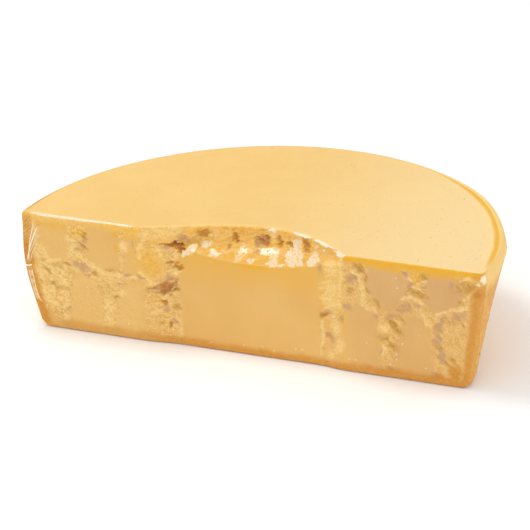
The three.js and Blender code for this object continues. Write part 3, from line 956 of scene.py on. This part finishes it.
def film_material(film):
    """Clear shrink film: it only shines, apart from milky folds and the highlights painted on it as milky white"""
    made, graph = material("parmesan_film")
    stretch = graph.add("ShaderNodeMapping", {"Vector": graph.object_place(), "Scale": (1.0, 1.0, 0.35)})
    bump = graph.bump(0.25, 0.0006, graph.noise(160.0, 2.0, stretch, 0.5))
    outside = graph.math("SUBTRACT", 1.0, graph.add("ShaderNodeNewGeometry").outputs["Backfacing"])
    most = graph.math("MINIMUM", graph.add("ShaderNodeFresnel", {"IOR": 1.25}), 0.012)
    clear = graph.add("ShaderNodeBsdfTransparent", {"Color": (1.0, 1.0, 1.0)})
    shine = graph.add("ShaderNodeBsdfGlossy", {"Color": (1.0, 1.0, 1.0), "Roughness": film.roughness, "Normal": bump})
    plain = graph.add("ShaderNodeMixShader", {0: graph.times(most, outside), 1: clear, 2: shine})
    # this mask holds both the milky gathers of the film and its painted highlights
    milky_fold_and_highlight = graph.mask("milky_fold_and_highlight")
    streaks = graph.ramp(graph.noise(600.0), 0.32, 0.55, 0.35, 1.0)
    tint = graph.mix(graph.times(graph.ramp(milky_fold_and_highlight, 0.25, 0.85), streaks), film.thin, film.tint)
    tint = graph.mix(graph.ramp(milky_fold_and_highlight, 1.05, 1.4), tint, film.bright)
    milk = graph.principled(tint, 0.2, Normal=bump)
    ragged = graph.scaled(graph.noise(430.0, 3.0), 2.6, -1.3)
    shown = graph.ramp(graph.plus(milky_fold_and_highlight, ragged), 0.5, 0.54)
    # milky places throw no shadow and no light on the cheese
    path = graph.add("ShaderNodeLightPath").outputs
    lit = graph.math("SUBTRACT", 1.0, graph.math("MAXIMUM", path["Is Shadow Ray"], path["Is Diffuse Ray"]))
    graph.finish(graph.add("ShaderNodeMixShader", {0: graph.times(shown, lit), 1: plain, 2: milk}))
    return made


def plain_material(name, tint, roughness, speckle):
    """A small detail's finish, slightly uneven"""
    made, graph = material(name)
    uneven = graph.mix(graph.ramp(graph.noise(speckle), 0.35, 0.65, 0.0, 0.3), tint,
                       tuple(part * 0.8 for part in tint))
    graph.finish(graph.principled(uneven, roughness))
    return made


# Small details that Geometry Nodes set on the surface

def scatter_tree():
    """Sets a small flattened bead on every point, turned to the surface"""
    name = "Set beads"
    if name in bpy.data.node_groups:
        return bpy.data.node_groups[name]
    tree = bpy.data.node_groups.new(name, "GeometryNodeTree")
    new_sockets(tree, "INPUT", [("Geometry", "Geometry", None), ("Radius", "Float", MM), ("Flatness", "Float", 0.4),
                                ("Unevenness", "Float", 0.3), ("Seed", "Int", 7), ("Material", "Material", None)])
    new_sockets(tree, "OUTPUT", [("Geometry", "Geometry", None)])
    graph = Graph(tree)
    given = graph.add("NodeGroupInput").outputs
    points = graph.add("GeometryNodeMeshToPoints", {"Mesh": given["Geometry"]})
    bead = graph.add("GeometryNodeMeshIcoSphere", {"Radius": given["Radius"], "Subdivisions": 1})
    away = graph.add("GeometryNodeInputNamedAttribute", {"Name": "outward"}, data_type="FLOAT_VECTOR")
    turn = graph.add("FunctionNodeAlignRotationToVector", {"Vector": away.outputs["Attribute"]}, axis="Z")
    scale = graph.add("FunctionNodeRandomValue", {2: graph.math("SUBTRACT", 1.0, given["Unevenness"]), 3: 1.0,
                                                  "Seed": given["Seed"]}, data_type="FLOAT")
    shape = graph.add("ShaderNodeCombineXYZ", {0: scale.outputs[1], 1: 1.0, 2: given["Flatness"]})
    beads = graph.add("GeometryNodeInstanceOnPoints", {"Points": points, "Instance": bead.outputs["Mesh"],
                                                       "Rotation": turn, "Scale": shape})
    real = graph.add("GeometryNodeRealizeInstances", {"Geometry": beads})
    finished = graph.add("GeometryNodeSetMaterial", {"Geometry": real, "Material": given["Material"]})
    graph.add("NodeGroupOutput", {"Geometry": finished})
    return tree


def scattered_piece(name, slot, points, outward, values):
    """A plain mesh of the beads that the tree sets on the points"""
    seeds = bpy.data.meshes.new(name + "_points")
    seeds.from_pydata(points.tolist(), [], [])
    paint(seeds, "outward", outward, "FLOAT_VECTOR")
    holder = add_object(name + "_holder", seeds)
    modifier = holder.modifiers.new("Beads", "NODES")
    modifier.node_group = scatter_tree()
    for item in modifier.node_group.interface.items_tree:
        if item.in_out == "INPUT" and item.name in values:
            modifier[item.identifier] = values[item.name]
    mesh = bpy.data.meshes.new_from_object(holder.evaluated_get(bpy.context.evaluated_depsgraph_get()))
    mesh.name = name
    bpy.data.objects.remove(holder)
    return new_piece(name, mesh, slot)


# The steps that build the cheese, its film and the stage

def sizes_of(scene):
    """The sizes of the wheel, the rind's details and the film in millimetres"""
    return [in_mm(group) for group in (scene.parmesan_wheel, scene.parmesan_rind, scene.parmesan_film)]


def cheese_masks(w, hull):
    """The masks of the whole cheese: broken face, round side, sawn top and underside"""
    degrees, pull, side, top = hull.degrees, hull.pull, hull.side, hull.top
    back = ~hull.front
    masks = {name: np.where(hull.face, values, 0.0) for name, values in hull.masks.items()}

    # the golden line round the sawn top, and within it a pale painted highlight where the top rounds off at the right
    rim_width = 0.8 + 3.4 * smooth(66, 44, degrees) + 1.8 * smooth(158, 176, degrees)
    rim = smooth(1.25, 0.75, pull / (rim_width * (1 + 0.2 * rumple(hull.x, hull.y, 14, 81)))) * back
    beyond = pull - 1.1 * rim_width
    rim_highlight = 0.8 * smooth(6.0, 1.5, beyond) * smooth(-0.4, 1.0, beyond) * back * smooth(48, 34, degrees)

    # painted highlight along the edge of the arch, and the pale edge of the right part of the sawn top
    arch = smooth(0.0, 4.0, hull.x + 108) * smooth(100, 80, hull.x)
    arch_edge_highlight = smooth(5, 1, pull) * hull.front * arch
    margin = smooth(7, 1, pull) * hull.front * smooth(90, 110, hull.x)
    cream = np.where(top, np.maximum.reduce([0.5 * margin, 0.5 * arch_edge_highlight, rim_highlight]), masks["cream"])
    # painted highlight along the top of the face under the arch
    lip_highlight = hull.face * arch * 0.6 * smooth(w.height - 2.2, w.height - 1.0, hull.z)

    # the crease in the rind under the rim at the right
    arc = hull.bearing * ARC_RADIUS
    crease = smooth(1.5, 0.4, np.abs(hull.z - 103.4 - 0.7 * ripple(arc, arc * 0, 11, 85)))
    crease = crease * smooth(23, 29, degrees) * smooth(48, 42, degrees)

    amber = np.where(top, rim * (0.5 * smooth(50, 75, degrees) + 0.35 * smooth(150, 170, degrees)), masks["amber"])
    amber = np.where(side, 0.1 + 0.5 * smooth(14, 2, hull.z), amber)
    # painted highlight up the side towards the sawn top, half as strong round the back and the left
    shoulder = smooth(w.belly_height - 14, w.belly_height + 2, hull.z) * (1 - 0.5 * smooth(70, 110, degrees))
    masks.update(
        cream=np.maximum(cream, lip_highlight), crevice=np.where(side, 0.65 * crease, masks["crevice"]),
        golden=np.maximum(masks["golden"], top * rim * smooth(80, 60, degrees) * smooth(1, 9, degrees)),
        amber=np.where(hull.under, 0.6, amber), shoulder=np.where(side, shoulder, 0.0),
        sawn=np.where(top, 1.0, np.where(hull.face, smooth(w.height - 1.5, w.height - 0.3, hull.z), 0.0)))
    return masks


class PARMESAN_OT_cheese(bpy.types.Operator):
    """Builds the cheese: sawn top, broken face with its crumb, and rind round the side and base"""
    bl_idname = "parmesan.cheese"
    bl_label = "Cheese"

    def execute(self, context):
        w, _, film = sizes_of(context.scene)
        hull = skin(w, film.gap, CHEESE_RINGS, lambda x, z: broken_face(w, x, z))
        mesh = closed_mesh("cheese", w, hull)
        paint(mesh, "strands", hull.masks.pop("strands"), "FLOAT_VECTOR")
        for name, values in cheese_masks(w, hull).items():
            paint(mesh, name, values)

        # the cloth's print goes round the side by its length
        along = np.where(hull.front, hull.x, ARC_START + hull.bearing * ARC_RADIUS).ravel()
        corners = np.empty(len(mesh.loops), np.int32)
        mesh.loops.foreach_get("vertex_index", corners)
        places = np.stack([along[corners], hull.z.ravel()[corners]], axis=-1).astype(np.float32)
        mesh.uv_layers.new(name="around").data.foreach_set("uv", places.ravel())

        paste, rind = paste_material(context.scene.parmesan_paste), rind_material(context.scene.parmesan_rind)
        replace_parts(new_piece("cheese", mesh, "paste", paste, rind), NODE)

        # rind under the foot and round the side; the last two faces close the underside and the top
        flat, rings, count = len(CHEESE_RINGS.pulls), *hull.x.shape
        is_rind = np.zeros((rings - 1, count), bool)
        is_rind[:flat] = True
        is_rind[flat:-flat, CHEESE_RINGS.columns:] = True
        kinds = np.append(is_rind.ravel(), (True, False)).astype(np.int32)
        mesh.polygons.foreach_set("material_index", kinds)
        return {"FINISHED"}


class PARMESAN_OT_crystals(bpy.types.Operator):
    """Sets the white crystals into the broken face"""
    bl_idname = "parmesan.crystals"
    bl_label = "Crystals"

    def execute(self, context):
        w, rind, film = sizes_of(context.scene)
        x, z = from_slanted(w, *np.array(CRYSTALS, float).T)
        y = base_depth(w, x, z) + broken_face(w, x, z)[0] + film.gap
        outward = np.tile((0.0, -1.0, 0.0), (len(x), 1))
        finish = plain_material("parmesan_crystal", context.scene.parmesan_paste.crystal, 0.5, 900.0)
        scattered_piece("crystals", "paste", placed(w, x, y, z), outward, {
            "Radius": rind.crystal_radius * MM, "Flatness": 0.35, "Unevenness": 0.35, "Seed": 11, "Material": finish})
        return {"FINISHED"}


class PARMESAN_OT_rind_dots(bpy.types.Operator):
    """Scatters plain dots over the rind, in no rows that could read as letters"""
    bl_idname = "parmesan.rind_dots"
    bl_label = "Rind dots"

    def execute(self, context):
        w, rind, film = sizes_of(context.scene)
        spacing, row_height, shake = rind.dot_spacing, rind.dot_spacing * 0.87, 0.3 * rind.dot_spacing
        rows, turns = np.meshgrid(np.arange(14, 92, row_height), np.arange(4, 690, spacing))
        odd = (np.round(rows / row_height) % 2) * spacing / 2
        z = rows + shake * lattice(rows, turns, 201)
        arc = turns + odd + shake * lattice(rows, turns, 202)
        keep = lattice(rows, turns, 203) > -0.5
        bearing = np.clip(arc[keep] / ARC_RADIUS, 0.03, math.pi - 0.03)
        edge_bearing, edge_z = np.array(EDGE_DOTS, float).T
        bearing, z = np.append(bearing, np.radians(edge_bearing)), np.append(z[keep], edge_z)
        radius = side_radius(w, bearing, z) - film.gap
        slope = side_radius(w, bearing, z + 0.5) - side_radius(w, bearing, z - 0.5)
        outward = np.stack([np.cos(bearing), np.sin(bearing), -slope], axis=-1)
        points = placed(w, radius * np.cos(bearing), radius * np.sin(bearing), z)
        finish = plain_material("parmesan_dot", context.scene.parmesan_rind.dot, 0.6, 700.0)
        scattered_piece("rind_dots", "rind", points, outward, {
            "Radius": rind.dot_radius * MM, "Flatness": 0.25, "Unevenness": 0.4, "Seed": 23, "Material": finish})
        return {"FINISHED"}


class PARMESAN_OT_film(bpy.types.Operator):
    """Wraps the cheese in its film"""
    bl_idname = "parmesan.film"
    bl_label = "Film"

    def execute(self, context):
        w, _, film = sizes_of(context.scene)

        def relief_of(x, z):
            relief, shine = film_face(w, x, z, film.wrinkle)
            return relief, {"milky_fold_and_highlight": shine}

        hull = skin(w, FILM_INSET, FILM_RINGS, relief_of)
        mesh = closed_mesh("film", w, hull)

        # painted highlight: broken white dashes along the film at the rim of the sawn top at the back
        dashes = smooth(0.0, 0.35, rumple(hull.x, hull.y, 16, 91, 2))
        dashes = smooth(1.2, 0.2, np.abs(hull.pull - 2.4)) * dashes
        dashes = dashes * smooth(84, 96, hull.degrees) * smooth(150, 138, hull.degrees)
        milky_fold_and_highlight = np.where(hull.face, hull.masks["milky_fold_and_highlight"], 0.0)
        paint(mesh, "milky_fold_and_highlight", np.where(hull.top & ~hull.front, 0.85 * dashes, milky_fold_and_highlight))
        new_piece("film", mesh, "film", film_material(context.scene.parmesan_film))
        return {"FINISHED"}


def chain(points, count):
    """Evenly spread places along a chain of points, with its corners rounded"""
    line = np.array(points, float)
    for _ in range(3):
        middle = (line[1:-1] * 2 + line[:-2] + line[2:]) / 4
        cut = np.concatenate([line[:1], middle, line[-1:]]) if len(line) > 2 else line
        halves = (cut[1:] + cut[:-1]) / 2
        line = np.empty((len(cut) + len(halves), 2))
        line[0::2], line[1::2] = cut, halves
    run = np.concatenate([[0], np.cumsum(np.hypot(*(line[1:] - line[:-1]).T))])
    spread = np.linspace(0, run[-1], count)
    return np.stack([np.interp(spread, run, line[:, i]) for i in (0, 1)], axis=-1)


def pleat(points, half, count, section):
    """Points of a thin pleat along a fold: x, z and how far each stands off the film"""
    line = chain(points, count)
    way = np.gradient(line, axis=0)
    way /= np.hypot(way[:, 0], way[:, 1])[:, None]
    sideways = np.stack([-way[:, 1], way[:, 0]], axis=-1)
    taper = np.clip(np.sin(np.linspace(0, math.pi, count)) * 2.2, 0.12, 1.0)[:, None]
    turn = np.arange(section) * 2 * math.pi / section
    spread = line[:, None, :] + (half * taper * np.cos(turn))[..., None] * sideways[:, None, :]
    stand = 0.3 * taper * np.sin(turn) * min(1.0, 0.5 + half)
    return np.concatenate([spread, stand[..., None]], axis=-1).reshape(-1, 3)


def tube_faces(start, count, section):
    """Faces of a closed tube whose points begin at this number"""
    faces = []
    last = start + (count - 1) * section
    for ring in range(start, last, section):
        for j in range(section):
            a, b = ring + j, ring + (j + 1) % section
            faces.append((a, b, b + section, a + section))
    return faces + [tuple(reversed(range(start, start + section))), tuple(range(last, last + section))]


class PARMESAN_OT_film_folds(bpy.types.Operator):
    """Gathers the film at the left end in thin pleats that stand on the film"""
    bl_idname = "parmesan.film_folds"
    bl_label = "Film folds"

    def execute(self, context):
        w, _, film = sizes_of(context.scene)
        section, count = 8, 30
        places, faces, milk = [], [], []
        for half, milky, *points in FOLDS:
            places.append(pleat(points, half, count, section))
            faces += tube_faces(len(milk), count, section)
            milk += [milky] * (count * section)
        x, z, stand = np.concatenate(places).T
        x = np.maximum(x, -side_radius(w, math.pi, z) + 0.25)
        y = np.maximum(film_face(w, x, z, film.wrinkle)[0] - 0.3 - stand, 0.04)
        mesh = bpy.data.meshes.new("film_folds")
        mesh.from_pydata(placed(w, x, y, z).tolist(), [], faces)
        shape = bmesh.new()
        shape.from_mesh(mesh)
        bmesh.ops.recalc_face_normals(shape, faces=shape.faces)
        shape.to_mesh(mesh)
        shape.free()
        paint(mesh, "milky_fold_and_highlight", milk)
        new_piece("film_folds", mesh, "film", bpy.data.materials["parmesan_film"])
        return {"FINISHED"}


def add_lamp(name, strength, size, towards, distance):
    """A square lamp in this direction from the cheese"""
    light = bpy.data.lights.new(name, "AREA")
    light.size, light.energy = size, strength
    lamp = add_object(name, light)
    way = Vector(towards).normalized()
    lamp.location = LAMP_TARGET + way * distance
    lamp.rotation_euler = way.to_track_quat("Z", "Y").to_euler()


class PARMESAN_OT_stage(bpy.types.Operator):
    """Sets up the floor, the light and the camera"""
    bl_idname = "parmesan.stage"
    bl_label = "Floor, light and camera"

    def execute(self, context):
        scene = context.scene
        studio = scene.parmesan_studio
        half, drop = 4.0, -0.0004
        mesh = bpy.data.meshes.new("floor")
        mesh.from_pydata([(-half, -half, drop), (half, -half, drop), (half, half, drop), (-half, half, drop)], [],
                         [(0, 1, 2, 3)])
        made, graph = material("pale_floor")
        graph.finish(graph.principled((0.97, 0.97, 0.97), 0.9, Specular_IOR_Level=0.1))
        mesh.materials.append(made)
        add_object("floor", mesh)

        world = bpy.data.worlds.new("white_surroundings")
        world.use_nodes = True
        sky = world.node_tree.nodes["Background"]
        sky.inputs["Color"].default_value = (1.0, 1.0, 1.0, 1.0)
        sky.inputs["Strength"].default_value = studio.sky
        scene.world = world
        add_lamp("soft_lamp", studio.lamp, studio.lamp_size, (-0.36, 0.02, 0.93), 1.5)
        add_lamp("fill_lamp", studio.fill, 1.4, (0.62, -0.72, 0.34), 2.2)

        camera = bpy.data.cameras.new("camera")
        camera.lens = studio.focal
        camera.shift_x, camera.shift_y = CAMERA_SHIFT
        turn, rise, roll = studio.azimuth, studio.elevation, studio.roll
        back = Vector((math.sin(turn) * math.cos(rise), -math.cos(turn) * math.cos(rise), math.sin(rise)))
        right = Vector((math.cos(turn), math.sin(turn), 0.0))
        up = back.cross(right)
        rolled_right = math.cos(roll) * right + math.sin(roll) * up
        rolled_up = -math.sin(roll) * right + math.cos(roll) * up
        place = Matrix((rolled_right, rolled_up, back)).transposed().to_4x4()
        target = Vector(placed(in_mm(scene.parmesan_wheel), *CAMERA_TARGET))
        place.translation = target + back * studio.distance
        viewer = add_object("camera", camera)
        viewer.matrix_world = place
        scene.camera = viewer
        scene.view_settings.view_transform = "Standard"
        return {"FINISHED"}


class PARMESAN_PT_panel(bpy.types.Panel):
    """Lists the steps that build the cheese"""
    bl_idname = "PARMESAN_PT_panel"
    bl_label = "Parmesan half wheel"
    bl_space_type = "VIEW_3D"
    bl_region_type = "UI"
    bl_category = "Parmesan"

    def draw(self, context):
        for step in STEPS:
            self.layout.operator(step.bl_idname)
        for name, group in GROUPS.items():
            box = self.layout.box()
            for key in group.__annotations__:
                box.prop(getattr(context.scene, name), key)


STEPS = (PARMESAN_OT_cheese, PARMESAN_OT_crystals, PARMESAN_OT_rind_dots, PARMESAN_OT_film,
         PARMESAN_OT_film_folds, PARMESAN_OT_stage)
CLASSES = (*GROUPS.values(), *STEPS, PARMESAN_PT_panel)


def register():
    for item in CLASSES:
        bpy.utils.register_class(item)
    for name, group in GROUPS.items():
        setattr(bpy.types.Scene, name, bpy.props.PointerProperty(type=group))


def unregister():
    for name in GROUPS:
        delattr(bpy.types.Scene, name)
    for item in reversed(CLASSES):
        bpy.utils.unregister_class(item)


def main():
    register()
    bpy.ops.parmesan.cheese()
    bpy.ops.parmesan.crystals()
    bpy.ops.parmesan.rind_dots()
    bpy.ops.parmesan.film()
    bpy.ops.parmesan.film_folds()
    bpy.ops.parmesan.stage()


if __name__ == "__main__":
    main()
